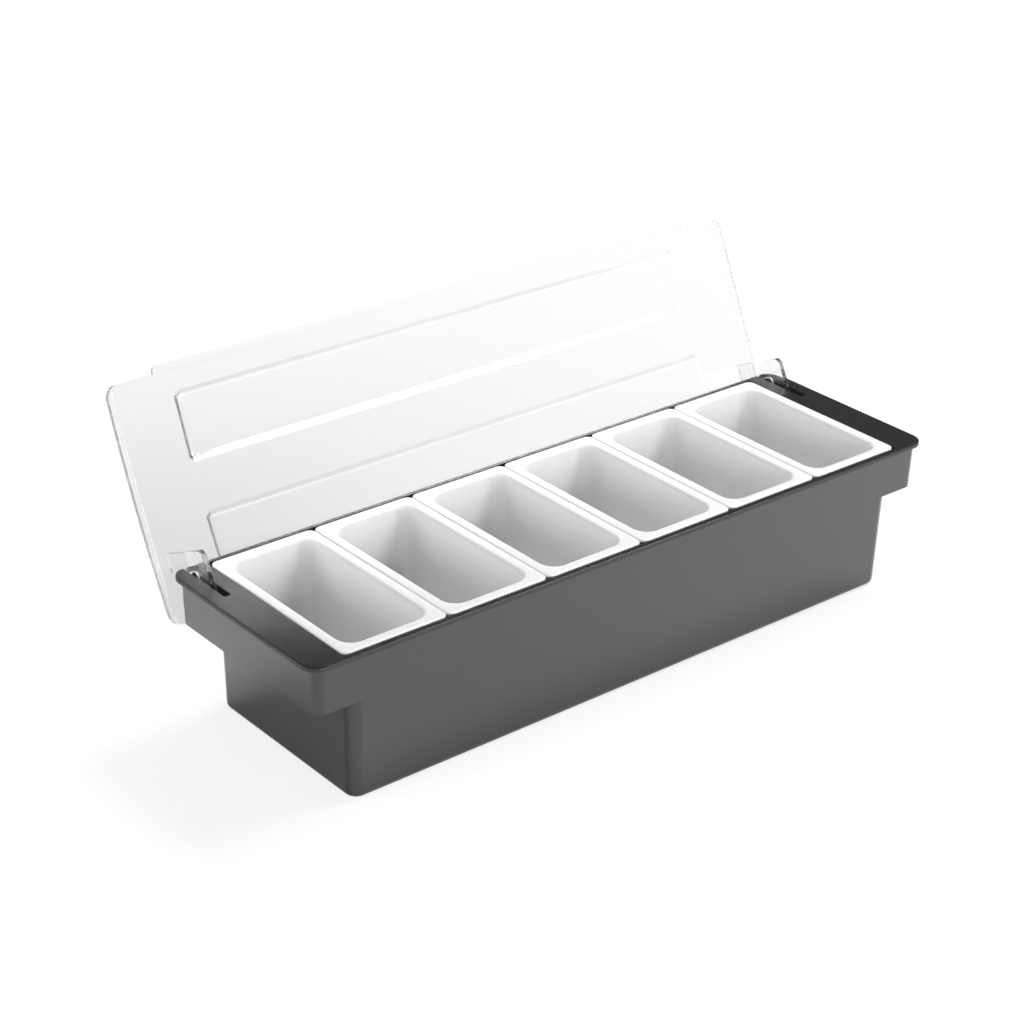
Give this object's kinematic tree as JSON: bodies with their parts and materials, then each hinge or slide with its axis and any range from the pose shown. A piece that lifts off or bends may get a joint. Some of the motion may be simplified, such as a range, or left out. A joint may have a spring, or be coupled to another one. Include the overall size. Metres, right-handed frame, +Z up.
{
  "type": "condiment caddy",
  "caption": "Long bar condiment caddy: a dark tub with hollow end grips, lift-out white inserts in a row and a clear arched flip lid on slotted hinge arms.",
  "frame": {"origin": "centre of the tub's flat foot, on the table", "axes": "+X along the caddy's length, +Y towards the hinge at the rear, +Z up; the front is -Y"},
  "size_m": [0.5, 0.214, 0.2012],
  "materials": {
    "tub": "satin black moulding with fine texture",
    "insert": "smooth white polypropylene",
    "lid": "clear, polished"
  },
  "bodies": {
    "base": {"base_tub": "tub"},
    "lid": {"lid": "lid", "hinge_arm_left": "lid", "hinge_arm_right": "lid"},
    "insert_1": {"insert_1": "insert"},
    "insert_2": {"insert_2": "insert"},
    "insert_3": {"insert_3": "insert"},
    "insert_4": {"insert_4": "insert"},
    "insert_5": {"insert_5": "insert"},
    "insert_6": {"insert_6": "insert"}
  },
  "joints": [
    {"name": "lid_hinge", "type": "hinge", "parent": "base", "child": "lid", "pos_m": [0, 0.0613, 0.0836], "axis": [-1, 0, 0], "range_deg": [-115.5, 0]},
    {"name": "insert_1_lift", "type": "slide", "parent": "base", "child": "insert_1", "axis": [0, 0, 1], "range_m": [0, 0.09]},
    {"name": "insert_2_lift", "type": "slide", "parent": "base", "child": "insert_2", "axis": [0, 0, 1], "range_m": [0, 0.09]},
    {"name": "insert_3_lift", "type": "slide", "parent": "base", "child": "insert_3", "axis": [0, 0, 1], "range_m": [0, 0.09]},
    {"name": "insert_4_lift", "type": "slide", "parent": "base", "child": "insert_4", "axis": [0, 0, 1], "range_m": [0, 0.09]},
    {"name": "insert_5_lift", "type": "slide", "parent": "base", "child": "insert_5", "axis": [0, 0, 1], "range_m": [0, 0.09]},
    {"name": "insert_6_lift", "type": "slide", "parent": "base", "child": "insert_6", "axis": [0, 0, 1], "range_m": [0, 0.09]}
  ]
}
